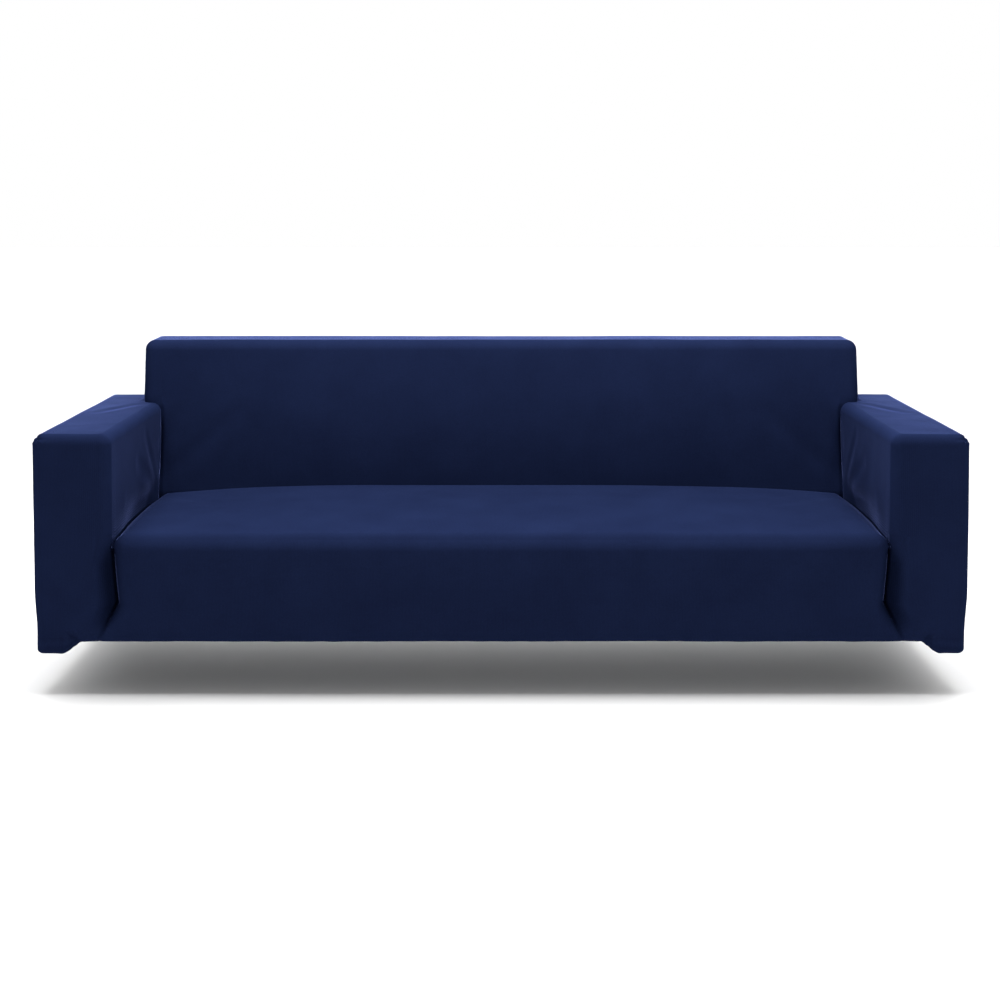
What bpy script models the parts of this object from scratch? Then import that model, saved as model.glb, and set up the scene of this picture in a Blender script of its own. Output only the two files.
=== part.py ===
"""A fitted stretch slipcover, three seats wide, in the shape that it takes when it is on.

Six panels of knitted cloth are sewn edge to edge: one long panel for the front, the seat and the inside and top of
the back, a panel round the front, top and inside of each arm, a flat panel outside each arm and one behind. The
elastic hem turns in under the bottom edge and hangs a little lower at the four corners.

The form starts as a box. Loop cuts and two extrusions make the arms and the back, then each point of the blocky
form moves to its place on the stretched cloth. Last, the cloth is parted along its seams and each panel is
thickened inwards.

Metres, +Z up, the front towards -Y, left and right as seen from the front. The origin is under the cloth, at the
middle of the top of the back.
"""

import math

import bmesh
import bpy
from mathutils import Matrix, Vector

# Outer sizes of the cover. Heights are above the ground.
WIDTH = 2.20
DEPTH = 0.85
BACK_HEIGHT = 0.78
ARM_HEIGHT = 0.616
ARM_WIDTH = 0.184
SEAT_HEIGHT = 0.378
SEAT_DEPTH = 0.60
HEM_HEIGHT = 0.127

# The cloth: its thickness, the gap between two panels at a seam, and its finish.
CLOTH = 0.002
SEAM_GAP = 0.0003
CLOTH_COLOUR = (0.006, 0.009, 0.027, 1)
CLOTH_ROUGHNESS = 0.85
CLOTH_SHEEN = 0.5
SHARP_ANGLE = math.radians(50)

# How the edges are rounded.
EDGE_RADIUS = 0.026
SEAT_RADIUS = 0.036

# Where the net of cloth is cut on its plain faces, between the closer rows beside its edges and creases.
PLAIN_ACROSS = (0.0, 0.20, 0.40, 0.60, 0.74, 0.83)
PLAIN_ALONG = (0.22, 0.34, 0.46, 0.54)
PLAIN_UP = (0.170, 0.255, 0.41, 0.45, 0.53, 0.66, 0.71)

# The creases: how wide the cloth rolls over before each one, and how deep it goes.
SIDE_ROLL, SIDE_SINK = 0.036, 0.028
BACK_ROLL, BACK_SINK = 0.030, 0.028
WALL_ROLL, WALL_SINK, WALL_FADE = 0.036, 0.010, 0.10
ARM_ROLL, ARM_HOLLOW = 0.026, 0.042
ROLL_STEEP = 0.93
CORNER_SLIDE = 0.07

# The front seam runs up the crease beside the seat and leaves it at the knee, towards the hem.
KNEE_HEIGHT = 0.211
KNEE_SHIFT = -0.008
HEM_SHIFT = 0.032
STRAIGHT_HEIGHT = 0.30
SEAM_PULL = 0.12

# Soft swelling of the stretched faces.
SEAT_CROWN = 0.024
CROWN_RUN = 0.45
FRONT_SWELL = 0.012
BACK_SWELL = 0.012
FOOT_DRAW, FOOT_TOP, FOOT_FADE = 0.006, 0.235, 0.06

# The back leans by this slope, and the lean fades out over the seat from here to the back.
BACK_LEAN = 0.20
LEAN_START = 0.32

# The hem: its rolled edge, the width turned in, and the lower corners. Each row of the turn is a drop in shares of
# the roll and a place inwards, in shares of the roll for the first two rows.
HEM_ROLL = 0.008
HEM_TURN = 0.022
CORNER_TURN = 0.012
ROLL_ROWS = ((0.71, 0.29), (1.0, 1.0))
TURNED_IN_DROP = 0.85
CORNER_DROP = 0.0285
DROP_FLAT, DROP_MIDDLE, DROP_END = 0.066, 0.0855, 0.115

HALF_WIDTH = WIDTH / 2
SEAT_HALF = HALF_WIDTH - ARM_WIDTH
BACK_HALF = SEAT_HALF + 2 * EDGE_RADIUS
WALL_BOTTOM = HEM_HEIGHT + HEM_ROLL
BACK_TOP_MIDDLE = (SEAT_DEPTH + BACK_LEAN * (BACK_HEIGHT - SEAT_HEIGHT) + DEPTH) / 2
FAR = 10.0
NEAR = 1e-5

# A rounded edge is cut where the rounding starts and once between there and the edge itself, so that its four
# facets turn by equal angles.
HALF_TURN_CUT = 1 - math.tan(math.radians(22.5))
EDGE_CUTS = (EDGE_RADIUS, EDGE_RADIUS * HALF_TURN_CUT)
SEAT_CUTS = (SEAT_RADIUS, SEAT_RADIUS * HALF_TURN_CUT)
ROLL_CUTS = (SIDE_ROLL, SIDE_ROLL / 2, SIDE_ROLL / 8)
CORNER_CUTS = (DROP_END, DROP_MIDDLE, DROP_FLAT)

PANELS = (
    "seat_and_back_panel",
    "arm_panel_left",
    "arm_panel_right",
    "side_panel_left",
    "side_panel_right",
    "rear_panel",
)


def cut_lines():
    """The places of the loop cuts along each axis."""
    across = [*PLAIN_ACROSS, SEAT_HALF]
    across += [SEAT_HALF - d for d in ROLL_CUTS]
    across += [SEAT_HALF + d for d in (*EDGE_CUTS, ARM_HOLLOW)]
    across += [BACK_HALF - EDGE_CUTS[1], BACK_HALF]
    across += [HALF_WIDTH - d for d in (*CORNER_CUTS, *EDGE_CUTS)]
    along = [*EDGE_CUTS, SEAT_RADIUS, *CORNER_CUTS, *PLAIN_ALONG]
    along += [SEAT_DEPTH - BACK_ROLL, SEAT_DEPTH - BACK_ROLL / 2, SEAT_DEPTH]
    along += [SEAT_DEPTH + d for d in EDGE_CUTS]
    along += [DEPTH - d for d in (*CORNER_CUTS, *EDGE_CUTS)]
    up = [*PLAIN_UP, KNEE_HEIGHT, STRAIGHT_HEIGHT, SEAT_HEIGHT, ARM_HEIGHT]
    up += [SEAT_HEIGHT - d for d in SEAT_CUTS]
    up += [ARM_HEIGHT - d for d in EDGE_CUTS]
    up += [BACK_HEIGHT - d for d in EDGE_CUTS]
    return sorted({side * x for x in across for side in (-1, 1)}), sorted(along), sorted(up)


def cut(form, axis, place):
    """One loop cut right through the form, square to an axis."""
    normal = Vector((axis == 0, axis == 1, axis == 2))
    everything = form.verts[:] + form.edges[:] + form.faces[:]
    bmesh.ops.bisect_plane(form, geom=everything, dist=NEAR, plane_co=normal * place, plane_no=normal)


def raise_top(form, height, belongs):
    """Extrude the top faces whose middle belongs to the raised part, up to a height."""
    form.normal_update()
    tops = [f for f in form.faces if f.normal.z > 0.5 and belongs(f.calc_center_median())]
    raised = bmesh.ops.extrude_face_region(form, geom=tops)["geom"]
    for vertex in raised:
        if isinstance(vertex, bmesh.types.BMVert):
            vertex.co.z = height


def blocky_form():
    """A box with square arms and back, cut into a net of four-sided faces and open underneath."""
    form = bmesh.new()
    size = Vector((WIDTH, DEPTH, SEAT_HEIGHT - WALL_BOTTOM))
    middle = Vector((0, DEPTH / 2, (SEAT_HEIGHT + WALL_BOTTOM) / 2))
    bmesh.ops.create_cube(form, size=1, matrix=Matrix.Translation(middle) @ Matrix.Diagonal(size.to_4d()))
    for side in (-1, 1):
        cut(form, 0, side * SEAT_HALF)
        cut(form, 0, side * BACK_HALF)
    cut(form, 1, SEAT_DEPTH)
    raise_top(form, ARM_HEIGHT, lambda p: abs(p.x) > SEAT_HALF or p.y > SEAT_DEPTH)
    raise_top(form, BACK_HEIGHT, lambda p: abs(p.x) < BACK_HALF and p.y > SEAT_DEPTH)
    for axis, places in enumerate(cut_lines()):
        for place in places:
            cut(form, axis, place)
    form.normal_update()
    underneath = [f for f in form.faces if f.normal.z < -0.5]
    bmesh.ops.delete(form, geom=underneath, context="FACES")
    return form


def panel_of(face):
    """Which panel a face of the blocky form is cut from."""
    middle, normal = face.calc_center_median(), face.normal
    side = "left" if middle.x < 0 else "right"
    outwards = abs(normal.x) > 0.5
    if outwards and abs(middle.x) > HALF_WIDTH - NEAR:
        name = "side_panel_" + side
    elif normal.y > 0.5:
        name = "rear_panel"
    elif abs(middle.x) > SEAT_HALF - NEAR and middle.z < ARM_HEIGHT + NEAR:
        name = "arm_panel_" + side
    else:
        name = "seat_and_back_panel"
    return PANELS.index(name)


def smooth(share):
    share = min(max(share, 0.0), 1.0)
    return share * share * (3 - 2 * share)


def rolled_over(distance, width):
    """How far down a round roll the cloth is at a distance from a crease: 1 in the crease, 0 past its width."""
    share = ROLL_STEEP * min(max(1 - distance / width, 0.0), 1.0)
    return (1 - math.sqrt(1 - share * share)) / (1 - math.sqrt(1 - ROLL_STEEP ** 2))


def rounded(point, low, high, radius):
    """Move a point of a box's surface onto the same box with rounded edges. Returns the point and the way out."""
    core = Vector([min(max(c, a + radius), b - radius) for c, a, b in zip(point, low, high)])
    out = (point - core).normalized()
    return core + out * radius, out


def crease_depth(height):
    """The crease beside the seat is at its full depth down to the knee and runs out at the hem."""
    return smooth((height - HEM_HEIGHT) / (KNEE_HEIGHT - HEM_HEIGHT))


def seam_shift(height):
    """How far the front seam stands outwards of the seat's side, at each height."""
    if height >= STRAIGHT_HEIGHT:
        return 0.0
    if height >= KNEE_HEIGHT:
        return KNEE_SHIFT * (STRAIGHT_HEIGHT - height) / (STRAIGHT_HEIGHT - KNEE_HEIGHT)
    down = (KNEE_HEIGHT - height) / (KNEE_HEIGHT - HEM_HEIGHT)
    return KNEE_SHIFT + (HEM_SHIFT - KNEE_SHIFT) * down


def flat_share(across):
    """1 in the middle of the seat and nearly out to its sides, where it falls to 0."""
    return 1 - (min(across, SEAT_HALF) / SEAT_HALF) ** 4


def seat_point(block):
    """The front below the seat's edge and the seat itself: crowned, and sunk towards the creases."""
    point, out = rounded(block, (-FAR, 0, -FAR), (FAR, FAR, SEAT_HEIGHT), SEAT_RADIUS)
    beside = SIDE_SINK * rolled_over(SEAT_HALF - block.x, SIDE_ROLL)
    if out.z < NEAR:
        beside *= crease_depth(block.z)
    behind = BACK_SINK * rolled_over(SEAT_DEPTH - block.y, BACK_ROLL) * max(out.z, 0.0)
    point -= out * max(beside, behind)
    rise = math.sin(min(block.y / CROWN_RUN, 1.0) * math.pi / 2)
    point.z += SEAT_CROWN * rise * flat_share(block.x) * max(out.z, 0.0)
    swell = math.sin(math.pi * (block.z - WALL_BOTTOM) / (SEAT_HEIGHT - WALL_BOTTOM))
    point.y -= FRONT_SWELL * swell * flat_share(block.x) * max(-out.y, 0.0)
    return point


def wall_sink(height):
    """How far the back sinks beside the arm's wall, fading out at the seat and at the top of the arm."""
    return WALL_SINK * smooth((ARM_HEIGHT - height) / WALL_FADE) * smooth((height - SEAT_HEIGHT) / WALL_FADE)


def back_point(block):
    """The inside, top, ends and outside of the back."""
    end = BACK_HALF if block.z > ARM_HEIGHT + NEAR else FAR
    point, out = rounded(block, (-FAR, SEAT_DEPTH, -FAR), (end, DEPTH, BACK_HEIGHT), EDGE_RADIUS)
    swell = math.sin(math.pi * (block.z - SEAT_HEIGHT) / (BACK_HEIGHT - SEAT_HEIGHT))
    if out.y < -0.5:
        point.y -= BACK_SWELL * swell * flat_share(block.x)
        point.y += wall_sink(block.z) * rolled_over(SEAT_HALF - block.x, WALL_ROLL)
    return point


def slid(block):
    """Turn the arm's inner front corner a little towards the wall, so that the crease runs up behind the edge."""
    across = block.x - SEAT_HALF
    inset = min(across, block.y)
    along = block.y - across
    fade = max(0.0, 1 - abs(along) / CORNER_SLIDE) * max(0.0, 1 - inset / CORNER_SLIDE)
    along += SIDE_SINK * fade
    return Vector((SEAT_HALF + inset + max(-along, 0.0), inset + max(along, 0.0), block.z))


def arm_beside_seat(block, point):
    """The arm's front rolls round into the crease beside the seat, in a wider hollow further down."""
    turn = math.pi / 2 * (block.x - SEAT_HALF) / ARM_HOLLOW
    hollow = smooth((SEAT_HEIGHT - block.z) / (SEAT_HEIGHT - STRAIGHT_HEIGHT))
    width = ARM_ROLL + (ARM_HOLLOW - ARM_ROLL) * hollow
    depth = SIDE_SINK * crease_depth(block.z)
    return Vector((SEAT_HALF + width * (1 - math.cos(turn)), depth * (1 - math.sin(turn)), point.z))


def foot_of_back(block, point):
    """The seam round the foot of the back's end follows the end's rounded corners."""
    level = Vector((block.x, block.y, 0))
    foot, _ = rounded(level, (-FAR, SEAT_DEPTH, -FAR), (BACK_HALF, DEPTH, FAR), EDGE_RADIUS)
    return Vector((foot.x, foot.y, point.z))


def arm_point(block):
    """The front, top, inside and outside of an arm, with its seams to the seat and the back."""
    beside_seat = block.y < NEAR and block.z < SEAT_HEIGHT + NEAR and block.x < SEAT_HALF + ARM_HOLLOW + NEAR
    inner_edge = block.z > SEAT_HEIGHT + NEAR and block.y < SEAT_DEPTH + NEAR
    start = slid(block) if inner_edge else block
    inner = SEAT_HALF if inner_edge else -FAR
    point, out = rounded(start, (inner, 0, -FAR), (HALF_WIDTH, DEPTH, ARM_HEIGHT), EDGE_RADIUS)
    point.x -= FOOT_DRAW * smooth((FOOT_TOP - block.z) / FOOT_FADE) * max(out.x, 0.0)
    under_back = block.z > ARM_HEIGHT - NEAR and block.y > SEAT_DEPTH - NEAR
    if beside_seat:
        return arm_beside_seat(block, point)
    if abs(block.x - SEAT_HALF) < NEAR and abs(block.y - SEAT_DEPTH) < NEAR:
        point.y += wall_sink(block.z)
    if under_back and BACK_HALF - EDGE_RADIUS - NEAR < block.x < BACK_HALF + NEAR:
        return foot_of_back(block, point)
    return point


def lean(block, height):
    """How far the reclining back pushes a point to the rear."""
    before = (block.y - LEAN_START) / (SEAT_DEPTH - BACK_ROLL - LEAN_START)
    behind = (DEPTH - EDGE_RADIUS - block.y) / (DEPTH - 2 * EDGE_RADIUS - SEAT_DEPTH)
    share = min(max(min(before, behind), 0.0), 1.0)
    return BACK_LEAN * max(height - SEAT_HEIGHT, 0.0) * share


def stretched(corner):
    """The place on the stretched cover of a point of the blocky form."""
    side = -1 if corner.x < 0 else 1
    block = Vector((abs(corner.x), corner.y, corner.z))
    if block.x < SEAT_HALF + NEAR and block.y < SEAT_DEPTH + NEAR and block.z < SEAT_HEIGHT + NEAR:
        point = seat_point(block)
    elif block.x < SEAT_HALF - NEAR or block.z > ARM_HEIGHT + NEAR:
        point = back_point(block)
    else:
        point = arm_point(block)
    if block.y < NEAR:
        pull = max(0.0, 1 - abs(block.x - SEAT_HALF) / SEAM_PULL)
        point.x += seam_shift(block.z) * pull
    point.y += lean(block, point.z)
    return Vector((side * point.x, point.y, point.z))


def corner_share(point):
    """1 at a lower corner of the hem, falling to 0 along the straight runs between the corners."""
    away = max(HALF_WIDTH - abs(point.x), min(point.y, DEPTH - point.y))
    return smooth((DROP_END - away) / (DROP_END - DROP_FLAT))


def inward(point):
    """The level direction from a point of the hem towards the hollow."""
    room = (HALF_WIDTH - EDGE_RADIUS, DEPTH - EDGE_RADIUS)
    core = Vector((
        min(max(point.x, -room[0]), room[0]),
        min(max(point.y, EDGE_RADIUS), room[1]),
        point.z,
    ))
    return (core - point).normalized()


def turn_in_hem(form):
    """Lower the corners, roll the bottom edge under and turn the hem in."""
    rim = [e for e in form.edges if e.is_boundary]
    for vertex in {v for e in rim for v in e.verts}:
        vertex.co.z -= CORNER_DROP * corner_share(vertex.co)
    start = {v: v.co.copy() for e in rim for v in e.verts}
    for drop, reach in (*ROLL_ROWS, (TURNED_IN_DROP, None)):
        made = bmesh.ops.extrude_edge_only(form, edges=rim)["geom"]
        faces = [g for g in made if isinstance(g, bmesh.types.BMFace)]
        following = {}
        for face in faces:
            old = next(e for e in face.edges if e in rim)
            face.material_index = next(f for f in old.link_faces if f is not face).material_index
            for edge in face.edges:
                ends = [v for v in edge.verts if v in start]
                if len(ends) == 1:
                    following[edge.other_vert(ends[0])] = start[ends[0]]
        for vertex, first in following.items():
            turned_in = HEM_TURN + (CORNER_TURN - HEM_TURN) * corner_share(first)
            depth = turned_in if reach is None else HEM_ROLL * reach
            vertex.co = first + inward(first) * depth - Vector((0, 0, HEM_ROLL * drop))
        start = following
        rim = [e for e in form.edges if e.is_boundary]


def whole_cover():
    """The cover in one piece, with no thickness. Each face carries its panel and each point its way out."""
    form = blocky_form()
    for face in form.faces:
        face.material_index = panel_of(face)
    for vertex in form.verts:
        vertex.co = stretched(vertex.co)
    turn_in_hem(form)
    bmesh.ops.triangulate(form, faces=form.faces[:], quad_method="SHORT_EDGE")
    bmesh.ops.recalc_face_normals(form, faces=form.faces[:])
    form.normal_update()
    out = form.verts.layers.float_vector.new("out")
    number = form.verts.layers.int.new("number")
    for vertex in form.verts:
        vertex[out] = vertex.normal
        vertex[number] = vertex.index
    mesh = bpy.data.meshes.new("whole_cover")
    form.to_mesh(mesh)
    form.free()
    return mesh


def knitted_cloth():
    """Dark blue knitted polyester with a soft sheen."""
    material = bpy.data.materials.new("knitted_cloth")
    material.use_nodes = True
    shader = material.node_tree.nodes["Principled BSDF"]
    shader.inputs["Base Color"].default_value = CLOTH_COLOUR
    shader.inputs["Roughness"].default_value = CLOTH_ROUGHNESS
    shader.inputs["Sheen Weight"].default_value = CLOTH_SHEEN
    return material


def draw_in_edge(panel, out):
    """Draw the edge of a panel in by half a seam's gap, square to the way out of each point."""
    ways = {}
    for edge in panel.edges:
        if edge.is_boundary:
            loop = edge.link_loops[0]
            line = loop.link_loop_next.vert.co - loop.vert.co
            for vertex in edge.verts:
                ways.setdefault(vertex, []).append(vertex[out].cross(line).normalized())
    for vertex, (first, second) in ways.items():
        middle = (first + second).normalized()
        vertex.co += middle * SEAM_GAP / 2 / max(middle.dot(first), 0.5)


def split_cut_faces(panel, outside):
    """Split the four-sided faces of the cut edge, each the same way as its partner across the seam."""
    number = panel.verts.layers.int["number"]
    for face in [f for f in panel.faces if len(f.verts) == 4]:
        corners = face.verts[:]
        first = min((v for v in corners if v in outside), key=lambda v: v[number])
        opposite = corners[(corners.index(first) + 2) % 4]
        bmesh.utils.face_split(face, first, opposite)


def sew_panel(name, whole, material, collection, holder):
    """Part one panel from the cover, half a seam's gap in from its edge, and thicken it inwards."""
    panel = bmesh.new()
    panel.from_mesh(whole)
    others = [f for f in panel.faces if PANELS[f.material_index] != name]
    bmesh.ops.delete(panel, geom=others, context="FACES")
    out = panel.verts.layers.float_vector["out"]
    draw_in_edge(panel, out)
    outside = set(panel.verts)
    inside = bmesh.ops.extrude_face_region(panel, geom=panel.faces[:], use_keep_orig=True)["geom"]
    for vertex in inside:
        if isinstance(vertex, bmesh.types.BMVert):
            vertex.co -= vertex[out].normalized() * CLOTH
    split_cut_faces(panel, outside)
    bmesh.ops.recalc_face_normals(panel, faces=panel.faces[:])
    for face in panel.faces:
        face.material_index = 0
    mesh = bpy.data.meshes.new(name)
    panel.to_mesh(mesh)
    panel.free()
    mesh.materials.clear()
    mesh.materials.append(material)
    mesh.shade_smooth()
    mesh.set_sharp_from_angle(angle=SHARP_ANGLE)
    piece = bpy.data.objects.new(name, mesh)
    collection.objects.link(piece)
    piece.parent = holder
    return piece


def build():
    for old in list(bpy.data.objects):
        bpy.data.objects.remove(old, do_unlink=True)
    collection = bpy.data.collections.new("sofa_slipcover")
    bpy.context.scene.collection.children.link(collection)
    holder = bpy.data.objects.new("under_the_back_top", None)
    holder.location = (0, -BACK_TOP_MIDDLE, CLOTH - BACK_HEIGHT)
    collection.objects.link(holder)
    whole = whole_cover()
    material = knitted_cloth()
    for name in PANELS:
        sew_panel(name, whole, material, collection, holder)
    bpy.data.meshes.remove(whole)


build()
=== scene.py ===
import math

import bpy
import numpy as np
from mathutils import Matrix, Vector, kdtree, noise


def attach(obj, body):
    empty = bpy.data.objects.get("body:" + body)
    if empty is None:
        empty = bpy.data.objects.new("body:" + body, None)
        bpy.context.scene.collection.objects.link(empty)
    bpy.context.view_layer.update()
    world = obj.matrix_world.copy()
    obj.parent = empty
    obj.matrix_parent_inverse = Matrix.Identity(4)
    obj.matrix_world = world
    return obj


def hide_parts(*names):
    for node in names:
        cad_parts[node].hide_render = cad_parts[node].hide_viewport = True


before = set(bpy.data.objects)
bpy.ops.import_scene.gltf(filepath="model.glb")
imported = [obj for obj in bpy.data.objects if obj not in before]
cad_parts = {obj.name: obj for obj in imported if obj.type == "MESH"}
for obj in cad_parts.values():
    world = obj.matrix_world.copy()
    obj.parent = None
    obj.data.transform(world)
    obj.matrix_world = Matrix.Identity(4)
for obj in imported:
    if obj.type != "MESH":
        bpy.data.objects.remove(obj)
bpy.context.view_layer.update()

# A fitted stretch slipcover, three seats wide: six panels of knitted cloth sewn edge to edge.
# Places are measured on the cover itself: x across, y back from its front, z up from the floor.
# The finished mesh then moves to the frame's own zero, under the middle of the back's top.

near = 1e-5
far = 10.0
facing = 0.5    # a face looks along an axis when its normal holds more of it than this

cover = {
    "width": 2.20,
    "depth": 0.85,
    "backHeight": 0.78,
    "armHeight": 0.616,
    "armWidth": 0.184,
    "seatHeight": 0.378,
    "seatDepth": 0.60,
    "hemHeight": 0.127,
    "edgeRadius": 0.026,    # all outer edges
    "seatRadius": 0.036,    # the fuller front edge of the seat
    "cloth": 0.0018,        # thickness of the knit
    "smoothAngle": 50,      # degrees, softer edges than this are shaded smooth
}
frameZero = (0.0, -0.7652, -0.778)

halfWidth = cover["width"] / 2
seatHalf = halfWidth - cover["armWidth"]
backHalf = seatHalf + 2 * cover["edgeRadius"]

hem = {
    "roll": 0.008, "rollSteps": 4,          # it rolls under along a quarter circle
    "threadSteps": 3,                       # the knit's map moves on by a third of it at each step
    "turn": 0.022, "cornerTurn": 0.012,     # and lies this far in underneath
    "flap": ((-0.92, 0.5), (-0.85, 1.0)),   # height, in rolls, and share of the way in
    "cornerDrop": 0.0285,                   # it hangs this much lower at the corners
    "dropFlat": 0.066, "dropEnd": 0.115,    # as far as here, and is back at its height there
}
wallBottom = cover["hemHeight"] + hem["roll"]


def smooth(share):
    share = min(max(share, 0.0), 1.0)
    return share * share * (3 - 2 * share)


rollSteep = 0.93    # how much of a quarter circle a rolled edge takes up


def rolledOver(distance, width):
    # 1 at a rolled edge, falling to 0 a width away from it
    share = rollSteep * min(max(1 - distance / width, 0.0), 1.0)
    return (1 - math.sqrt(1 - share * share)) / (1 - math.sqrt(1 - rollSteep ** 2))


def rounded(point, low, high, radius):
    # the point moved onto a box with round edges, and the way out of it there
    core = Vector([min(max(c, a + radius), b - radius) for c, a, b in zip(point, low, high)])
    out = (point - core).normalized()
    return core + out * radius, out


# Where each point of the blocky form goes on the stretched cover, worked out for the right half.
# The left half mirrors it.

frontSeam = {
    "knee": 0.211, "kneeShift": -0.008,     # the seam leaves the crease here
    "hemShift": 0.032,                      # and runs outwards down to the hem
    "straight": 0.30,                       # it stands upright above this
    "pull": 0.12,                           # the cloth beside it moves with it this far
}


def creaseDepth(height):
    return smooth((height - cover["hemHeight"]) / (frontSeam["knee"] - cover["hemHeight"]))


def seamShift(height):
    if height >= frontSeam["straight"]:
        return 0.0
    if height >= frontSeam["knee"]:
        run = frontSeam["straight"] - frontSeam["knee"]
        above = (frontSeam["straight"] - height) / run
        return frontSeam["kneeShift"] * above
    down = (frontSeam["knee"] - height) / (frontSeam["knee"] - cover["hemHeight"])
    return frontSeam["kneeShift"] + (frontSeam["hemShift"] - frontSeam["kneeShift"]) * down


seat = {
    "sideRoll": 0.036, "sideSink": 0.028,   # where the seat rolls down beside the arms
    "frontSink": 0.055,                     # the deeper hollow beside the seat's front
    "backRoll": 0.030, "backSink": 0.028,   # where it rolls down in front of the back
    "crown": 0.024, "crownRun": 0.45,       # it fills out towards its middle
    "frontSwell": 0.012,
    "under": 0.014, "underTop": 0.06,       # how far the crease runs in under the arm's bulge
    "underFront": 0.30, "underBack": 0.12,  # the bulge grows from the front, and ends at the back
    "slideFront": 0.05,                     # behind this the walls slide right into the crease
}
flatPower = 4       # the seat and the back stay level across, and fall off near their ends


def lowerShare(height):
    # 0 level with the seat's top, 1 where the front seam stands upright
    return smooth((cover["seatHeight"] - height) / (cover["seatHeight"] - frontSeam["straight"]))


def sinkAt(height):
    deeper = (seat["frontSink"] - seat["sideSink"]) * lowerShare(height)
    return (seat["sideSink"] + deeper) * creaseDepth(height)


def flatShare(across):
    return 1 - (min(across, seatHalf) / seatHalf) ** flatPower


def underArm(block):
    # the arm bulges over the crease beside the seat
    above = max(block.z - cover["seatHeight"], 0.0) / seat["underTop"]
    onTop = smooth((block.y - 0.5 * cover["seatRadius"]) / seat["underFront"])
    onTop *= block.z > cover["seatHeight"] - near
    toBack = smooth((cover["seatDepth"] - block.y) / seat["underBack"])
    return seat["under"] * max(1 - above, 0.0) ** 2 * onTop * toBack


def seatPoint(block):
    high = (far, far, cover["seatHeight"])
    point, out = rounded(block, (-far, 0, -far), high, cover["seatRadius"])
    beside = sinkAt(block.z) * rolledOver(seatHalf - block.x, seat["sideRoll"])
    behind = seat["backSink"] * rolledOver(cover["seatDepth"] - block.y, seat["backRoll"])
    behind *= max(out.z, 0.0)
    point -= out * max(beside, behind)
    rise = math.sin(min(block.y / seat["crownRun"], 1.0) * math.pi / 2)
    point.z += seat["crown"] * rise * flatShare(block.x) * max(out.z, 0.0)
    point.x += underArm(block) * max(1 - (seatHalf - block.x) / seat["sideRoll"], 0.0) ** 2
    swell = math.sin(math.pi * (block.z - wallBottom) / (cover["seatHeight"] - wallBottom))
    point.y -= seat["frontSwell"] * swell * flatShare(block.x) * max(-out.y, 0.0)
    return point


# distances from a crease at which its two sides are cut, closer together towards its bottom
creaseCuts = (0.0012, 0.003, 0.005, 0.0075, 0.0105, 0.014, 0.018, 0.0225, 0.027)


def footSlide(block):
    # the lowest rows of a wall slide down to the bottom of the crease at its foot
    above = (block.z - cover["seatHeight"]) / creaseCuts[-1]
    if not near < above < 1:
        return 0.0
    across, along = min(block.x, seatHalf), min(block.y, cover["seatDepth"])
    bottom = seatPoint(Vector((across, along, cover["seatHeight"]))).z
    slide = (bottom - cover["seatHeight"]) * (1 - above) ** 2
    return slide * smooth(block.y / seat["slideFront"])


back = {
    "lean": 0.20, "leanStart": 0.32,
    "swell": 0.012,
    "wallRoll": 0.036, "wallSink": 0.010, "wallFade": 0.10,     # where it meets the arms' insides
}


def wallSink(height):
    top = smooth((cover["armHeight"] - height) / back["wallFade"])
    return back["wallSink"] * top * smooth((height - cover["seatHeight"]) / back["wallFade"])


def backPoint(block):
    end = backHalf if block.z > cover["armHeight"] + near else far
    low, high = (-far, cover["seatDepth"], -far), (end, cover["depth"], cover["backHeight"])
    point, out = rounded(block, low, high, cover["edgeRadius"])
    up = (block.z - cover["seatHeight"]) / (cover["backHeight"] - cover["seatHeight"])
    if out.y < -facing:
        point.y -= back["swell"] * math.sin(math.pi * up) * flatShare(block.x)
        point.y += wallSink(block.z) * rolledOver(seatHalf - block.x, back["wallRoll"])
        point.z += footSlide(block)
    return point


def leanOf(block, height):
    edge = cover["edgeRadius"]
    run = cover["seatDepth"] - seat["backRoll"] - back["leanStart"]
    before = (block.y - back["leanStart"]) / run
    thick = cover["depth"] - 2 * edge - cover["seatDepth"]
    behind = (cover["depth"] - edge - block.y) / thick
    share = min(max(min(before, behind), 0.0), 1.0)
    return back["lean"] * max(height - cover["seatHeight"], 0.0) * share


arms = {
    "roll": 0.026, "hollow": 0.042,     # the inner front edge at the seat's top, and lower down
    "cornerSlide": 0.07,                # how far up and back the crease behind that edge reaches
    "footDraw": 0.006, "footTop": 0.255, "footFade": 0.11,      # drawn in a little near the hem
}


def slid(block):
    # turns the arm's inner front corner towards the wall, so the crease runs up behind the edge
    reach = arms["cornerSlide"]
    across = block.x - seatHalf
    inset = min(across, block.y)
    along = block.y - across
    turned = max(0.0, 1 - abs(along) / reach)
    along += seat["sideSink"] * turned * max(0.0, 1 - inset / reach)
    return Vector((seatHalf + inset + max(-along, 0.0), inset + max(along, 0.0), block.z))


def armBesideSeat(block, point):
    # level with the seat's top the arm's edge is a plain roll
    # lower down it turns into a hollow with a soft bottom
    across = (block.x - seatHalf) / arms["hollow"]
    turn = math.pi / 2 * across
    lower = lowerShare(block.z)
    width = arms["roll"] + (arms["hollow"] - arms["roll"]) * lower
    out = (1 - math.cos(turn)) * (1 - lower) + across * lower
    deep = (1 - math.sin(turn)) * (1 - lower) + (0.5 + 0.5 * math.cos(math.pi * across)) * lower
    return Vector((seatHalf + width * out, sinkAt(block.z) * deep, point.z))


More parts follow.
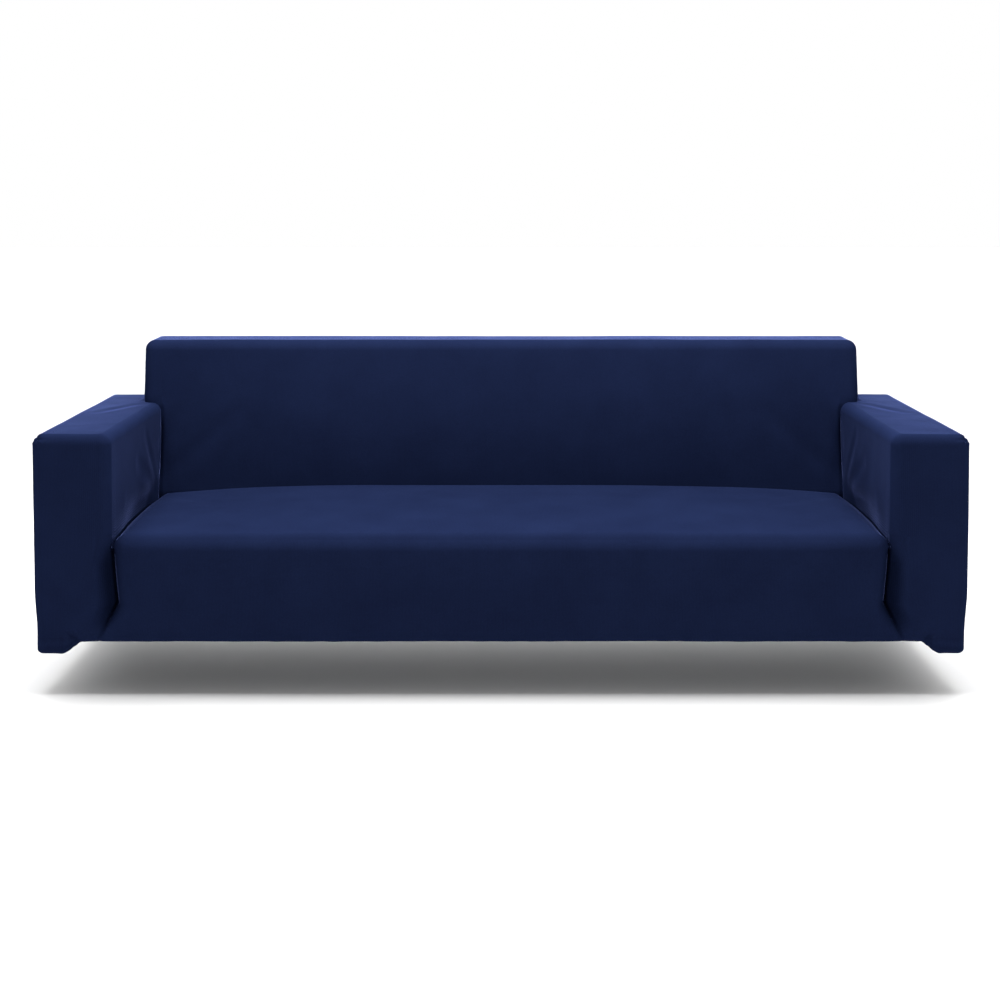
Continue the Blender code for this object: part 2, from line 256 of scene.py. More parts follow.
def armPoint(block):
    edge = cover["edgeRadius"]
    beforeBack = block.y < cover["seatDepth"] + near
    aboveSeat = block.z > cover["seatHeight"] + near
    innerEdge = aboveSeat and beforeBack
    start = slid(block) if innerEdge else block
    low = (seatHalf if innerEdge else -far, 0, -far)
    point, out = rounded(start, low, (halfWidth, cover["depth"], cover["armHeight"]), edge)
    if block.y > cover["depth"] - near and block.x < backHalf + near:
        # behind the back the rear cloth runs straight up, so the arm's rounding fades out there
        plain, _ = rounded(start, low, (halfWidth, cover["depth"], far), edge)
        point = point.lerp(plain, smooth((backHalf - block.x) / edge))
    drawn = smooth((arms["footTop"] - block.z) / arms["footFade"])
    point.x -= arms["footDraw"] * drawn * max(out.x, 0.0)
    lowFront = block.y < near and not aboveSeat
    if lowFront and block.x < seatHalf + arms["hollow"] + near:
        return armBesideSeat(block, point)
    if abs(block.x - seatHalf) < near and beforeBack:
        point.z += footSlide(block)
        point.x += underArm(block)
    if abs(block.x - seatHalf) < near and abs(block.y - cover["seatDepth"]) < near:
        point.y += wallSink(block.z)
    underBack = block.z > cover["armHeight"] - near and block.y > cover["seatDepth"] - near
    if underBack and backHalf - edge - near < block.x < backHalf + near:
        # the arm's top meets the rounded foot of the back's end
        level = Vector((block.x, block.y, 0))
        low, high = (-far, cover["seatDepth"], -far), (backHalf, cover["depth"], far)
        foot, _ = rounded(level, low, high, edge)
        return Vector((foot.x, foot.y, point.z))
    return point


def stretched(corner):
    side = -1 if corner.x < 0 else 1
    block = Vector((abs(corner.x), corner.y, corner.z))
    overSeat = block.x < seatHalf + near and block.y < cover["seatDepth"] + near
    if overSeat and block.z < cover["seatHeight"] + near:
        point = seatPoint(block)
    elif block.x < seatHalf - near or block.z > cover["armHeight"] + near:
        point = backPoint(block)
    else:
        point = armPoint(block)
    if block.y < near:
        beside = max(0.0, 1 - abs(block.x - seatHalf) / frontSeam["pull"])
        point.x += seamShift(block.z) * beside
    point.y += leanOf(block, point.z)
    return Vector((side * point.x, point.y, point.z))


# The blocky form is a cube with two steps raised on it, and cut into a net that is finest where
# the cloth bends most.

net = {
    "plain": 0.012, "across": 0.014, "armTop": 0.008,
    "edge": 0.0027,
    "foot": 0.004,                      # above the place where the hem turns down
    "hem": 0.003, "hemRows": 0.03,      # fine rows up to this far above the hem
}


def evenPlaces(start, end, step):
    count = max(1, round((end - start) / step))
    return [start + (end - start) * i / count for i in range(count + 1)]


def acrossCuts():
    edge = cover["edgeRadius"]
    footStart = halfWidth - hem["dropFlat"]
    across = evenPlaces(0.0, seatHalf - seat["sideRoll"], net["across"])
    across += [seatHalf - d for d in creaseCuts]
    across += evenPlaces(seatHalf, backHalf, net["edge"])
    across += evenPlaces(backHalf, footStart, net["foot"])
    across += evenPlaces(footStart, halfWidth - edge, net["armTop"])
    across += evenPlaces(halfWidth - edge, halfWidth, net["edge"])[:-1]
    return [side * x for x in across for side in (-1, 1)]


def alongCuts():
    edge, behind = cover["edgeRadius"], cover["seatDepth"]
    along = evenPlaces(0.0, cover["seatRadius"], net["edge"])[1:]
    along += evenPlaces(cover["seatRadius"], behind - seat["backRoll"], net["plain"])
    along += [behind - d for d in creaseCuts]
    along += evenPlaces(behind, behind + edge, net["edge"])
    along += evenPlaces(behind + edge, cover["depth"] - edge, net["plain"])
    along += evenPlaces(cover["depth"] - edge, cover["depth"], net["edge"])[:-1]
    return along


def upCuts():
    edge, knee = cover["edgeRadius"], frontSeam["knee"]
    hemTop = wallBottom + net["hemRows"]
    seatTop, armTop, backTop = cover["seatHeight"], cover["armHeight"], cover["backHeight"]
    up = evenPlaces(wallBottom, hemTop, net["hem"])[1:]
    up += evenPlaces(hemTop, knee, net["plain"])
    up += evenPlaces(knee, seatTop - cover["seatRadius"], net["plain"])
    up += evenPlaces(seatTop - cover["seatRadius"], seatTop, net["edge"])
    up += [seatTop + d for d in creaseCuts]
    up += evenPlaces(seatTop + creaseCuts[-1], armTop - edge, net["plain"])
    up += evenPlaces(armTop - edge, armTop, net["edge"])
    up += evenPlaces(armTop, backTop - edge, net["plain"])
    up += evenPlaces(backTop - edge, backTop, net["edge"])[:-1]
    return up


def cutAt(axis, place):
    normal = [0.0, 0.0, 0.0]
    normal[axis] = 1.0
    bpy.ops.mesh.select_all(action="SELECT")
    bpy.ops.mesh.bisect(plane_co=[place * n for n in normal], plane_no=normal, threshold=near)


def selectFaces(mesh, wanted):
    # picks faces by their middle and normal, and leaves the mesh in edit mode
    bpy.ops.object.mode_set(mode="EDIT")
    bpy.ops.mesh.select_mode(type="FACE")
    bpy.ops.mesh.select_all(action="DESELECT")
    bpy.ops.object.mode_set(mode="OBJECT")
    for face in mesh.polygons:
        face.select = wanted(face.center, face.normal)
    bpy.ops.object.mode_set(mode="EDIT")


def raiseTop(form, rise, belongs):
    bpy.ops.object.mode_set(mode="OBJECT")
    selectFaces(form.data, lambda middle, normal: normal.z > facing and belongs(middle))
    bpy.ops.mesh.extrude_region_move(TRANSFORM_OT_translate={"value": (0, 0, rise)})


def blockyForm():
    bpy.ops.object.select_all(action="DESELECT")
    height = cover["seatHeight"] - wallBottom
    bpy.ops.mesh.primitive_cube_add(
        size=1, location=(0, cover["depth"] / 2, wallBottom + height / 2),
        scale=(cover["width"], cover["depth"], height))
    bpy.ops.object.transform_apply(location=True, rotation=False, scale=True)
    form = bpy.context.active_object
    form.name = "whole_cover"
    bpy.ops.object.mode_set(mode="EDIT")
    for place in (-backHalf, -seatHalf, seatHalf, backHalf):
        cutAt(0, place)
    behind = cover["seatDepth"]
    cutAt(1, behind)
    raiseTop(form, cover["armHeight"] - cover["seatHeight"],
             lambda p: abs(p.x) > seatHalf or p.y > behind)
    raiseTop(form, cover["backHeight"] - cover["armHeight"],
             lambda p: abs(p.x) < backHalf and p.y > behind)
    for axis, places in enumerate((acrossCuts(), alongCuts(), upCuts())):
        for place in sorted({round(place, 5) for place in places}):
            cutAt(axis, place)
    bpy.ops.object.mode_set(mode="OBJECT")
    selectFaces(form.data, lambda middle, normal: normal.z < -facing)
    bpy.ops.mesh.delete(type="FACE")
    bpy.ops.object.mode_set(mode="OBJECT")
    return form


# each panel: the CAD node that it stands for, and its width and length laid out flat, hem and all
panels = {
    "seat_and_back_cloth": {"node": "seat_and_back_panel", "covered": (2.44, 1.50)},
    "arm_cloth_left": {"node": "arm_panel_left", "covered": (0.424, 1.36)},
    "arm_cloth_right": {"node": "arm_panel_right", "covered": (0.424, 1.36)},
    "side_cloth_left": {"node": "side_panel_left", "covered": (0.85, 0.54)},
    "side_cloth_right": {"node": "side_panel_right", "covered": (0.85, 0.54)},
    "rear_cloth": {"node": "rear_panel", "covered": (2.20, 0.70)},
}
panelNames = list(panels)


def panelOf(middle, normal):
    side = "left" if middle.x < 0 else "right"
    if abs(normal.x) > facing and abs(middle.x) > halfWidth - near:
        return panelNames.index("side_cloth_" + side)
    if normal.y > facing:
        return panelNames.index("rear_cloth")
    if abs(middle.x) > seatHalf - near and middle.z < cover["armHeight"] + near:
        return panelNames.index("arm_cloth_" + side)
    return panelNames.index("seat_and_back_cloth")


def markThreads(form):
    # where each point lies on the blocky form, so that the knit can follow the cloth
    threads = form.data.attributes.new("threads", "FLOAT_VECTOR", "POINT")
    for vertex in form.data.vertices:
        threads.data[vertex.index].vector = vertex.co


# The hem is rolled under and turned in all round.

def cornerShare(point):
    away = max(halfWidth - abs(point.x), min(point.y, cover["depth"] - point.y))
    return smooth((hem["dropEnd"] - away) / (hem["dropEnd"] - hem["dropFlat"]))


def inward(point):
    edge = cover["edgeRadius"]
    core = Vector((
        min(max(point.x, edge - halfWidth), halfWidth - edge),
        min(max(point.y, edge), cover["depth"] - edge),
        point.z,
    ))
    return (core - point).normalized()


def selectOpenEdge(mesh):
    uses = {}
    for face in mesh.polygons:
        for key in face.edge_keys:
            uses[key] = uses.get(key, 0) + 1
    bpy.ops.object.mode_set(mode="EDIT")
    bpy.ops.mesh.select_mode(type="EDGE")
    bpy.ops.mesh.select_all(action="DESELECT")
    bpy.ops.object.mode_set(mode="OBJECT")
    for line in mesh.edges:
        line.select = uses[line.key] == 1
    # into edit mode and back, so that the points of these edges are selected too
    bpy.ops.object.mode_set(mode="EDIT")
    bpy.ops.object.mode_set(mode="OBJECT")


def turnHemIn(form):
    mesh = form.data
    selectOpenEdge(mesh)
    for vertex in mesh.vertices:
        if vertex.select:
            vertex.co.z -= hem["cornerDrop"] * cornerShare(vertex.co)
    rim = mesh.attributes.new("rim", "FLOAT_VECTOR", "POINT")   # the extrusions hand it on
    for vertex in mesh.vertices:
        rim.data[vertex.index].vector = vertex.co
    turns = [math.radians(90 * i / hem["rollSteps"]) for i in range(1, hem["rollSteps"] + 1)]
    steps = [(1 - math.cos(turn), -math.sin(turn), 0.0) for turn in turns]
    steps += [(1.0, down, turnedIn) for down, turnedIn in hem["flap"]]
    for across, down, turnedIn in steps:
        bpy.ops.object.mode_set(mode="EDIT")
        bpy.ops.mesh.extrude_region_move(TRANSFORM_OT_translate={"value": (0, 0, 0)})
        bpy.ops.object.mode_set(mode="OBJECT")
        rim = mesh.attributes["rim"]
        threads = mesh.attributes["threads"]
        for vertex in mesh.vertices:
            if not vertex.select:
                continue
            first = Vector(rim.data[vertex.index].vector)
            width = hem["turn"] + (hem["cornerTurn"] - hem["turn"]) * cornerShare(first)
            depth = hem["roll"] * across + (width - hem["roll"]) * turnedIn
            vertex.co = first + inward(first) * depth + Vector((0, 0, hem["roll"] * down))
            run = hem["roll"] if turnedIn == 0 else width
            threads.data[vertex.index].vector.z -= run / hem["threadSteps"]


# Seams, tucks, gathers, creases and unevenness are soft troughs and ridges in the cloth. Each
# function below gives how far the points move, for all of them at once.

seams = {
    "depth": 0.0016, "width": 0.0055,           # the valley that the two seam edges lie in
    "shoulder": 0.0006, "shoulderAt": 0.011,    # and the fuller cloth over the seam allowance
    "pucker": 0.5, "puckerSize": 0.030,
    "hemFade": 0.01,                            # the hem holds the seam's end flat
}


def readPoints(mesh, what="co"):
    values = np.empty(len(mesh.vertices) * 3)
    if what == "co":
        mesh.vertices.foreach_get("co", values)
    elif what == "normal":
        mesh.vertex_normals.foreach_get("vector", values)
    else:
        mesh.attributes[what].data.foreach_get("vector", values)
    return values.reshape(-1, 3)


def bell(distance, width):
    return np.exp(-(distance / width) ** 2)


def wander(places, size):
    return np.array([noise.noise(Vector(p) / size) for p in places])


def searchTree(places, indices):
    tree = kdtree.KDTree(len(indices))
    for index in indices:
        tree.insert(places[index], index)
    tree.balance()
    return tree


def seamPoints(mesh):
    # the points that belong to more than one panel
    first, seam = {}, set()
    for face in mesh.polygons:
        for index in face.vertices:
            if first.setdefault(index, face.material_index) != face.material_index:
                seam.add(index)
    return seam


def seamLift(mesh, places, above):
    tree = searchTree(places, seamPoints(mesh))
    away = np.array([tree.find(p)[2] for p in places])
    pucker = wander(places, seams["puckerSize"])
    lift = seams["shoulder"] * bell(away - seams["shoulderAt"], seams["width"])
    lift -= seams["depth"] * bell(away, seams["width"]) * (1 + seams["pucker"] * pucker)
    return lift * np.clip(above / seams["hemFade"], 0, 1)


# each crease: from, to, half width, depth, and again on the other side of the cover
# a negative depth makes a ridge
creases = [
    # the crumple where the hem turns down at the corner
    ((0.990, 0.0, 0.124), (1.010, 0.0, 0.148), 0.0055, 0.0042),
    ((1.006, 0.0, 0.114), (1.030, 0.0, 0.136), 0.0050, 0.0038),
    ((1.022, 0.0, 0.104), (1.046, 0.0, 0.118), 0.0045, 0.0026),
    ((0.986, 0.0, 0.142), (1.010, 0.0, 0.160), 0.0060, -0.0022),
    # pulls beside the front seam, below the knee and up the hollow
    ((0.930, 0.002, 0.205), (0.972, 0.0, 0.150), 0.0090, 0.0014),
    ((0.944, 0.002, 0.250), (1.000, 0.0, 0.180), 0.0120, 0.0010),
    ((0.890, -0.008, 0.230), (0.820, -0.010, 0.165), 0.0160, 0.0009),
    # the inside of the arm, fanning out of the corner between the seat and the back
    ((0.916, 0.560, 0.400), (0.916, 0.330, 0.500), 0.0140, 0.0016),
    ((0.916, 0.560, 0.420), (0.916, 0.430, 0.560), 0.0120, 0.0013),
    ((0.916, 0.500, 0.385), (0.916, 0.200, 0.430), 0.0160, 0.0011),
    # the seat, running out of the same corner
    ((0.890, 0.540, 0.385), (0.700, 0.330, 0.398), 0.0180, 0.0013),
    ((0.880, 0.480, 0.385), (0.760, 0.200, 0.396), 0.0160, 0.0010),
    # the inside of the back, from its foot at the arm
    ((0.900, 0.612, 0.420), (0.700, 0.640, 0.600), 0.0180, 0.0015),
    ((0.905, 0.620, 0.500), (0.800, 0.660, 0.720), 0.0150, 0.0012),
    # the arm's top, beside the foot of the back
    ((0.975, 0.600, 0.616), (1.040, 0.420, 0.616), 0.0130, 0.0012),
    # the outer side
    ((1.100, 0.050, 0.150), (1.100, 0.300, 0.330), 0.0200, 0.0010),
    ((1.100, 0.800, 0.150), (1.100, 0.600, 0.360), 0.0220, 0.0011),
    ((1.100, 0.760, 0.590), (1.100, 0.620, 0.420), 0.0200, 0.0010),
    # the rear, from its lower corner, under the arm's end and under the back's end
    ((1.040, 0.850, 0.150), (0.760, 0.850, 0.340), 0.0220, 0.0018),
    ((0.980, 0.850, 0.600), (0.700, 0.850, 0.480), 0.0200, 0.0016),
    ((0.930, 0.850, 0.760), (0.780, 0.850, 0.600), 0.0180, 0.0013),
]
creaseShape = {
    "start": 0.12, "run": 0.76, "power": 0.8,   # it dies away at both ends
    "ridge": 0.35, "ridgeAt": 2.2,              # cloth pushed up beside it, in its own widths
}


def creaseLift(places):
    mirrored = np.column_stack([np.abs(places[:, 0]), places[:, 1:]])
    lift = np.zeros(len(places))
    for start, end, width, depth in creases:
        start, run = np.array(start), np.array(end) - np.array(start)
        share = np.clip((mirrored - start) @ run / (run @ run), 0, 1)
        gone = np.linalg.norm(mirrored - start - share[:, None] * run, axis=1)
        fade = np.sin(np.pi * (creaseShape["start"] + creaseShape["run"] * share))
        ridge = creaseShape["ridge"] * bell(gone - creaseShape["ridgeAt"] * width, width)
        lift -= depth * fade ** creaseShape["power"] * (bell(gone, width) - ridge)
    return lift


gathers = {     # tiny folds round the three-way corners of the seams, with a dimple in their middle
    "folds": 11, "foldDepth": 0.00105,
    "ringAt": 0.012, "ringWidth": 0.0105,
    "dimple": 0.0035, "dimpleReach": 0.009,
}


def gatherLift(places):
    lift = np.zeros(len(places))
    edge = cover["edgeRadius"] * (1 - 1 / math.sqrt(3))
    for y, toMiddle in ((edge, 1), (cover["depth"] - edge, -1)):
        for side in (-1, 1):
            corner = (side * (halfWidth - edge), y, cover["armHeight"] - edge)
            away = places - np.array(corner)
            gone = np.linalg.norm(away, axis=1)
            turn = np.arctan2(away[:, 2], side * away[:, 0] + toMiddle * away[:, 1])
            folds = np.cos(turn * gathers["folds"])
            lift -= gathers["dimple"] * bell(gone, gathers["dimpleReach"])
            ring = bell(gone - gathers["ringAt"], gathers["ringWidth"])
            lift += gathers["foldDepth"] * folds * ring
    return lift


hemLook = {
    "stitchAbove": 0.013, "stitchDepth": 0.0008, "stitchWidth": 0.0035,
    "ripple": 0.0009, "rippleSize": 0.034, "rippleFade": 0.045,
}


def aboveHem(places):
    share = np.array([cornerShare(Vector(p)) for p in places])
    return places[:, 2] - cover["hemHeight"] + hem["cornerDrop"] * share


def hemLift(places, above):
    stitches = bell(above - hemLook["stitchAbove"], hemLook["stitchWidth"])
    wave = wander(places * (1.0, 1.0, 0.0), hemLook["rippleSize"])
    ripple = hemLook["ripple"] * wave * bell(np.maximum(above, 0.0), hemLook["rippleFade"])
    return ripple - hemLook["stitchDepth"] * stitches


tuck = {        # the cloth pushed down between the seat, the arms and the back
    "depth": 0.012, "width": 0.0045,
    "turn": 0.06, "cornerTurn": 0.5,        # where it turns to run in front of the back
    "cornerFade": 0.03, "cornerHold": 0.85,     # it is shallow at the seat's front corners
    "atHem": 0.25, "closed": 0.5,           # and at the hem, where it opens into a plain seam
    "shadeBand": 0.018,                       # the jersey without sheen paints shade this close to it
    # inwards beside the front, down and outwards beside the seat, down and back before the back
    "aims": ((0.35, 1.0, 0.0), (0.6, 0.0, -1.0), (0.0, 0.7, -1.0)),
}


def tuckAim(block):
    side = -1 if block[0] < 0 else 1
    front, beside, behind = (Vector(d).normalized() for d in tuck["aims"])
    rolled = (block[2] - cover["seatHeight"] + block[1]) / cover["seatRadius"]
    aim = front.lerp(beside, smooth(0.5 + 0.5 * rolled))
    toBack = smooth(1 - (cover["seatDepth"] - block[1]) / tuck["turn"])
    toSide = smooth(1 - (seatHalf - abs(block[0])) / tuck["turn"])
    aim = aim.lerp(behind, toBack * (1 - tuck["cornerTurn"] * toSide))
    return (side * aim.x, aim.y, aim.z)


def tuckLine(blocks):
    across, along, up = np.abs(blocks[:, 0]), blocks[:, 1], blocks[:, 2]
    beside = (np.abs(across - seatHalf) < near) & (along < cover["seatDepth"] + near)
    behind = (np.abs(along - cover["seatDepth"]) < near) & (across < seatHalf + near)
    behind &= up > cover["seatHeight"] - near
    return np.flatnonzero((beside | behind) & (up < cover["seatHeight"] + near))


def tuckMove(mesh, places):
    blocks = readPoints(mesh, "threads")
    line = tuckLine(blocks)
    tree = searchTree(places, line)
    found = [tree.find(p) for p in places]
    nearest = np.array([f[1] for f in found])
    away = np.array([f[2] for f in found])
    sunk = np.array([creaseDepth(z) for z in blocks[nearest, 2]])
    seatCorner = np.array((seatHalf, 0.0, cover["seatHeight"]))
    gone = np.linalg.norm(np.abs(blocks[nearest]) - seatCorner, axis=1)
    depth = tuck["depth"] * np.maximum(sunk, tuck["atHem"])
    depth *= 1 - tuck["cornerHold"] * bell(gone, tuck["cornerFade"])
    # a metre is added where it has opened, so that no painted shade goes there
    fromTuck = away + (sunk < tuck["closed"])
    mesh.attributes.new("awayFromTuck", "FLOAT", "POINT").data.foreach_set("value", fromTuck)
    aims = {index: tuckAim(blocks[index]) for index in line}
    pushed = (depth * bell(away, tuck["width"]))[:, None]
    return np.array([aims[index] for index in nearest]) * pushed


uneven = {"broad": 0.0012, "broadSize": 0.26, "fine": 0.0004, "fineSize": 0.08}


def shapeCloth(form):
    mesh = form.data
    places, outs = readPoints(mesh), readPoints(mesh, "normal")
    above = aboveHem(places)
    lift = seamLift(mesh, places, above)
    lift += uneven["broad"] * wander(places, uneven["broadSize"])
    lift += uneven["fine"] * wander(places, uneven["fineSize"])
    lift += creaseLift(places) + gatherLift(places) + hemLift(places, above)
    moved = places + outs * lift[:, None] + tuckMove(mesh, places)
    mesh.vertices.foreach_set("co", moved.ravel())
    mesh.update()


def layThreads(mesh):
    # a UV map in metres: across the cloth, and along it up the front, over the top and up the back
    places = mesh.attributes["threads"].data
    uv = mesh.uv_layers.new(name="clothThreads")
    for face in mesh.polygons:
        name = panelNames[face.material_index]
        corners = [places[index].vector for index in face.vertices]
        sideways = max(p.x for p in corners) - min(p.x for p in corners) < near
        for loop, p in zip(face.loop_indices, corners):
            side = -1 if p.x < 0 else 1
            if name.startswith("side"):
                across, along = p.y, p.z
            elif name.startswith("rear"):
                across, along = p.x, p.z
            elif sideways and name.startswith("arm"):
                across = side * (seatHalf - cover["armHeight"] + p.z)
                along = cover["armHeight"] + p.y
            elif sideways:
                across = side * (backHalf - cover["seatDepth"] + p.y)
                along = cover["seatDepth"] + p.z
            else:
                across, along = p.x, p.z + p.y
            uv.data[loop].uv = (across, along)


def hexColour(text):
    # sRGB hex to the linear values that the shader takes
    values = [int(text[i:i + 2], 16) / 255 for i in (0, 2, 4)]
    return [v / 12.92 if v <= 0.04045 else ((v + 0.055) / 1.055) ** 2.4 for v in values] + [1.0]


def addNode(tree, kind, settings=None, links=None):
    node = tree.nodes.new(kind)
    for name, value in (settings or {}).items():
        if isinstance(name, str) and hasattr(node, name):
            setattr(node, name, value)
        else:
            node.inputs[name].default_value = value
    for name, source in (links or {}).items():
        tree.links.new(source, node.inputs[name])
    return node


def setShader(shader, settings):
    for name, value in settings.items():
        shader.inputs[name].default_value = value


knitLook = {
    "shade": "0e142a",          # the darkest tone: low drift, and painted shade in the knit's hollows
    "light": "1c2645",          # the lightest tone: high drift, and painted light where the loops stand out
    "sheen": 1.0, "sheenRoughness": 0.13, "sheenTint": "93a8ff",
    "roughness": 0.6, "specular": 0.0,
    # real wales stand about 0.9 mm apart, too fine to show, so they are drawn coarser
    "waleSize": 0.0032, "courseSize": 0.0026,
    "waleWobble": 1.5, "courseWobble": 2.0,
    "napScale": 260.0, "napDetail": 2.0,
    "driftScale": 7.0, "driftDetail": 4.0, "driftRoughness": 0.6,
    "bump": 0.12, "loopHeight": 0.0006,
    "loopShadeShare": 0.35, "driftShare": 0.5,       # how much each one turns the colour: the loops as painted shade, the drift as real tone
}
waveUnit = 0.314    # Blender's wave texture repeats once in this length at scale 1


def brushedPolyesterJersey(name, sheen):
    # Polyester jersey knitted in fine loops and brushed to a short nap. The eye sees deep matt navy
    # that drifts a little in tone, faint wales close up, and a soft blue glow where the nap is seen
    # along the surface.
    material = bpy.data.materials.new(name)
    material.use_nodes = True
    tree = material.node_tree
    shader = tree.nodes["Principled BSDF"]
    places = addNode(tree, "ShaderNodeTexCoord").outputs["Object"]
    threads = addNode(tree, "ShaderNodeUVMap", {"uv_map": "clothThreads"}).outputs["UV"]
    wales, courses = (
        addNode(tree, "ShaderNodeTexWave", {
            "bands_direction": direction, "Scale": waveUnit / knitLook[size],
            "Distortion": knitLook[wobble], "Detail": 1.0, "Detail Scale": 1.0},
            {"Vector": threads})
        for direction, size, wobble in (("X", "waleSize", "waleWobble"),
                                        ("Y", "courseSize", "courseWobble")))
    nap = addNode(tree, "ShaderNodeTexNoise", {
        "Scale": knitLook["napScale"], "Detail": knitLook["napDetail"]}, {"Vector": places})
    drift = addNode(tree, "ShaderNodeTexNoise", {
        "Scale": knitLook["driftScale"], "Detail": knitLook["driftDetail"],
        "Roughness": knitLook["driftRoughness"]}, {"Vector": places})
    loops = addNode(tree, "ShaderNodeMath", {"operation": "MULTIPLY"},
                    {0: wales.outputs["Fac"], 1: courses.outputs["Fac"]})
    height = addNode(tree, "ShaderNodeMath", {"operation": "ADD"},
                     {0: loops.outputs["Value"], 1: nap.outputs["Fac"]})
    bump = addNode(tree, "ShaderNodeBump", {
        "Strength": knitLook["bump"], "Distance": knitLook["loopHeight"]},
        {"Height": height.outputs["Value"]})
    # painted shade: the colour darkens in the hollows of the loops and nap and lightens on their
    # tops
    loopShade = addNode(tree, "ShaderNodeMath", {
        "operation": "MULTIPLY_ADD", 1: knitLook["loopShadeShare"], 2: 0.0},
        {0: height.outputs["Value"]})
    tone = addNode(tree, "ShaderNodeMath", {
        "operation": "MULTIPLY_ADD", 1: knitLook["driftShare"], "use_clamp": True},
        {0: drift.outputs["Fac"], 2: loopShade.outputs["Value"]})
    colour = addNode(tree, "ShaderNodeMix", {
        "data_type": "RGBA", "A": hexColour(knitLook["shade"]), "B": hexColour(knitLook["light"])},
        {"Factor": tone.outputs["Value"]})
    tree.links.new(colour.outputs["Result"], shader.inputs["Base Color"])
    tree.links.new(bump.outputs["Normal"], shader.inputs["Normal"])
    setShader(shader, {
        "Roughness": knitLook["roughness"],
        "Specular IOR Level": knitLook["specular"],
        "Sheen Weight": sheen,
        "Sheen Roughness": knitLook["sheenRoughness"],
        "Sheen Tint": hexColour(knitLook["sheenTint"]),
    })
    return material


def partPanels(form):
    bpy.ops.object.select_all(action="DESELECT")
    form.select_set(True)
    bpy.context.view_layer.objects.active = form
    bpy.ops.object.mode_set(mode="EDIT")
    bpy.ops.mesh.select_all(action="SELECT")
    bpy.ops.mesh.separate(type="MATERIAL")
    bpy.ops.object.mode_set(mode="OBJECT")
    return {piece.data.materials[0].name: piece for piece in bpy.context.selected_objects}


def finishPanel(piece, name):
    piece.name = name
    mesh = piece.data
    mesh.name = name
    mesh.materials.clear()
    mesh.materials.append(knit)
    away = [point.value for point in mesh.attributes["awayFromTuck"].data]
    farthest = [max(away[index] for index in face.vertices) for face in mesh.polygons]
    # faces close to a tuck get the sheenless jersey: painted shade in the crease
    tucked = [distance < tuck["shadeBand"] for distance in farthest]
    if any(tucked):
        mesh.materials.append(creaseShadeKnit)
    for face, isTucked in zip(mesh.polygons, tucked):
        face.material_index = int(isTucked)
    bpy.ops.object.select_all(action="DESELECT")
    piece.select_set(True)
    bpy.context.view_layer.objects.active = piece
    thicken = piece.modifiers.new("thicken", "SOLIDIFY")
    thicken.thickness = cover["cloth"]
    thicken.offset = -1.0       # inwards
    bpy.ops.object.modifier_apply(modifier="thicken")
    bpy.ops.object.shade_smooth_by_angle(angle=math.radians(cover["smoothAngle"]))


print("cutting the blocky form")
form = blockyForm()
for name in panelNames:
    form.data.materials.append(bpy.data.materials.new("panel_" + name))     # marks the panel
for face in form.data.polygons:
    face.material_index = panelOf(face.center, face.normal)
markThreads(form)

print("stretching the cover:", len(form.data.polygons), "faces")
for vertex in form.data.vertices:
    vertex.co = stretched(vertex.co)
turnHemIn(form)
bpy.ops.object.mode_set(mode="EDIT")
bpy.ops.mesh.select_all(action="SELECT")
bpy.ops.mesh.normals_make_consistent(inside=False)
bpy.ops.object.mode_set(mode="OBJECT")
shapeCloth(form)
layThreads(form.data)
for vertex in form.data.vertices:
    vertex.co += Vector(frameZero)

print("parting the panels")
knit = brushedPolyesterJersey("brushed_polyester_jersey", knitLook["sheen"])
# The same jersey with its sheen switched off, laid on the faces beside the tucks: painted shade, so
# the creases stay dark.
creaseShadeKnit = brushedPolyesterJersey("polyester_jersey_crease_shade", 0.0)
parts = partPanels(form)
for name in panelNames:
    piece = parts["panel_" + name]
    finishPanel(piece, name)
    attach(piece, "root")
    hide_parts(panels[name]["node"])

print("floor, light and camera")
studio = {
    "floor": "d2d2d2", "floorRoughness": 0.9, "floorSize": 60,
    "zenith": 0.55, "horizon": 0.42, "gather": 2.0,         # the light on the cloth from all round
    "rear": 20.0, "rearHeight": 18, "rearGather": 12.0,     # and a glow behind it, 18 degrees up
    "backdrop": 1.0,                                        # what the camera sees there
    "softbox": {"place": (0, -0.5, 2.8), "aim": (0, -0.4, -0.2), "size": (4.0, 1.6), "power": 250},
}


def mattWhiteCard():
    # Uncoated white card. It has no gloss, so the floor is an even pale grey with soft shadows.
    material = bpy.data.materials.new("matt_white_card")
    material.use_nodes = True
    setShader(material.node_tree.nodes["Principled BSDF"], {
        "Base Color": hexColour(studio["floor"]), "Roughness": studio["floorRoughness"]})
    return material


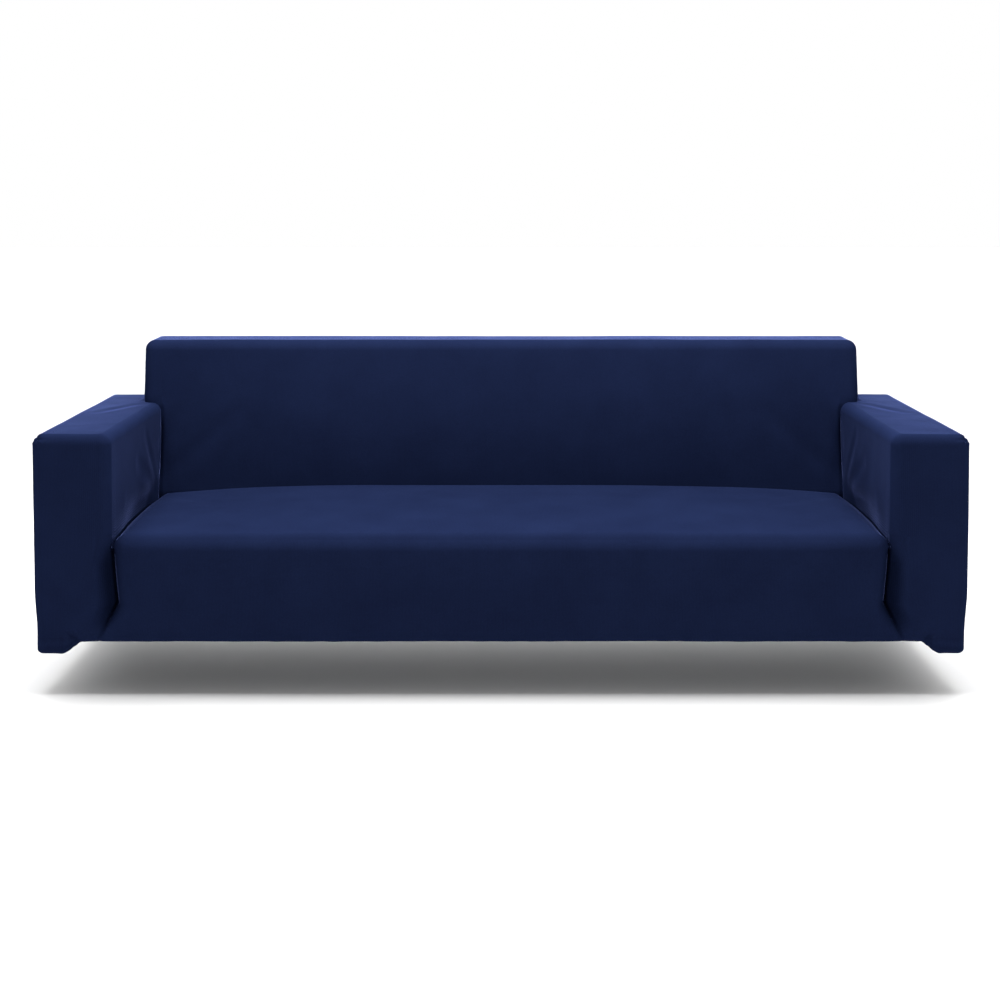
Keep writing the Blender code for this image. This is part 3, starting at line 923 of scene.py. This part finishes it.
def whiteStudio():
    world = bpy.data.worlds.new("white_studio")
    world.use_nodes = True
    tree = world.node_tree
    background = tree.nodes["Background"]
    way = addNode(tree, "ShaderNodeTexCoord").outputs["Generated"]
    split = addNode(tree, "ShaderNodeSeparateXYZ", {}, {0: way})
    upper = addNode(tree, "ShaderNodeClamp", {}, {"Value": split.outputs["Z"]})
    gathered = addNode(tree, "ShaderNodeMath", {"operation": "POWER", 1: studio["gather"]},
                       {0: upper.outputs["Result"]})
    height = addNode(tree, "ShaderNodeMapRange", {
        "From Min": 0.0, "From Max": 1.0, "To Min": studio["horizon"], "To Max": studio["zenith"]},
        {"Value": gathered.outputs["Value"]})
    aim = math.radians(studio["rearHeight"])
    rearward = addNode(tree, "ShaderNodeVectorMath", {
        "operation": "DOT_PRODUCT", 1: (0, math.cos(aim), math.sin(aim))}, {0: way})
    rearShare = addNode(tree, "ShaderNodeClamp", {}, {"Value": rearward.outputs["Value"]})
    glow = addNode(tree, "ShaderNodeMath", {"operation": "POWER", 1: studio["rearGather"]},
                   {0: rearShare.outputs["Result"]})
    light = addNode(tree, "ShaderNodeMath", {"operation": "MULTIPLY_ADD", 1: studio["rear"]},
                    {0: glow.outputs["Value"], 2: height.outputs["Result"]})
    rays = addNode(tree, "ShaderNodeLightPath")
    seen = addNode(tree, "ShaderNodeMix", {"data_type": "FLOAT", 3: studio["backdrop"]},
                   {"Factor": rays.outputs["Is Camera Ray"], 2: light.outputs["Value"]})
    background.inputs["Color"].default_value = (1, 1, 1, 1)
    tree.links.new(seen.outputs[0], background.inputs["Strength"])
    bpy.context.scene.world = world


def softLight(name, place, aim, size, power):
    data = bpy.data.lights.new(name, "AREA")
    data.shape = "RECTANGLE"
    data.size, data.size_y = size
    data.energy = power
    lamp = bpy.data.objects.new(name, data)
    bpy.context.scene.collection.objects.link(lamp)
    lamp.location = place
    lamp.rotation_euler = (Vector(aim) - Vector(place)).to_track_quat("-Z", "Y").to_euler()


bpy.ops.object.select_all(action="DESELECT")
bpy.ops.mesh.primitive_plane_add(size=studio["floorSize"], location=(0, 0, frameZero[2]))
floor = bpy.context.active_object
floor.name = "floor"
bpy.ops.object.transform_apply(location=True, rotation=False, scale=True)
floor.data.materials.append(mattWhiteCard())
whiteStudio()
softLight("top_softbox", **studio["softbox"])

view = {
    "place": (0.0, -4.9037, 0.4164), "tilt": 3.0,       # degrees down from level
    "lens": 64.17, "sensor": 36, "shiftX": -0.001, "shiftY": -0.2192,
}
cameraData = bpy.data.cameras.new("camera")
camera = bpy.data.objects.new("camera", cameraData)
bpy.context.scene.collection.objects.link(camera)
camera.location = view["place"]
camera.rotation_euler = (math.radians(90 - view["tilt"]), 0, 0)
cameraData.lens = view["lens"]
cameraData.sensor_width = view["sensor"]
cameraData.shift_x = view["shiftX"]
cameraData.shift_y = view["shiftY"]
bpy.context.scene.camera = camera
bpy.context.scene.view_settings.view_transform = "Standard"
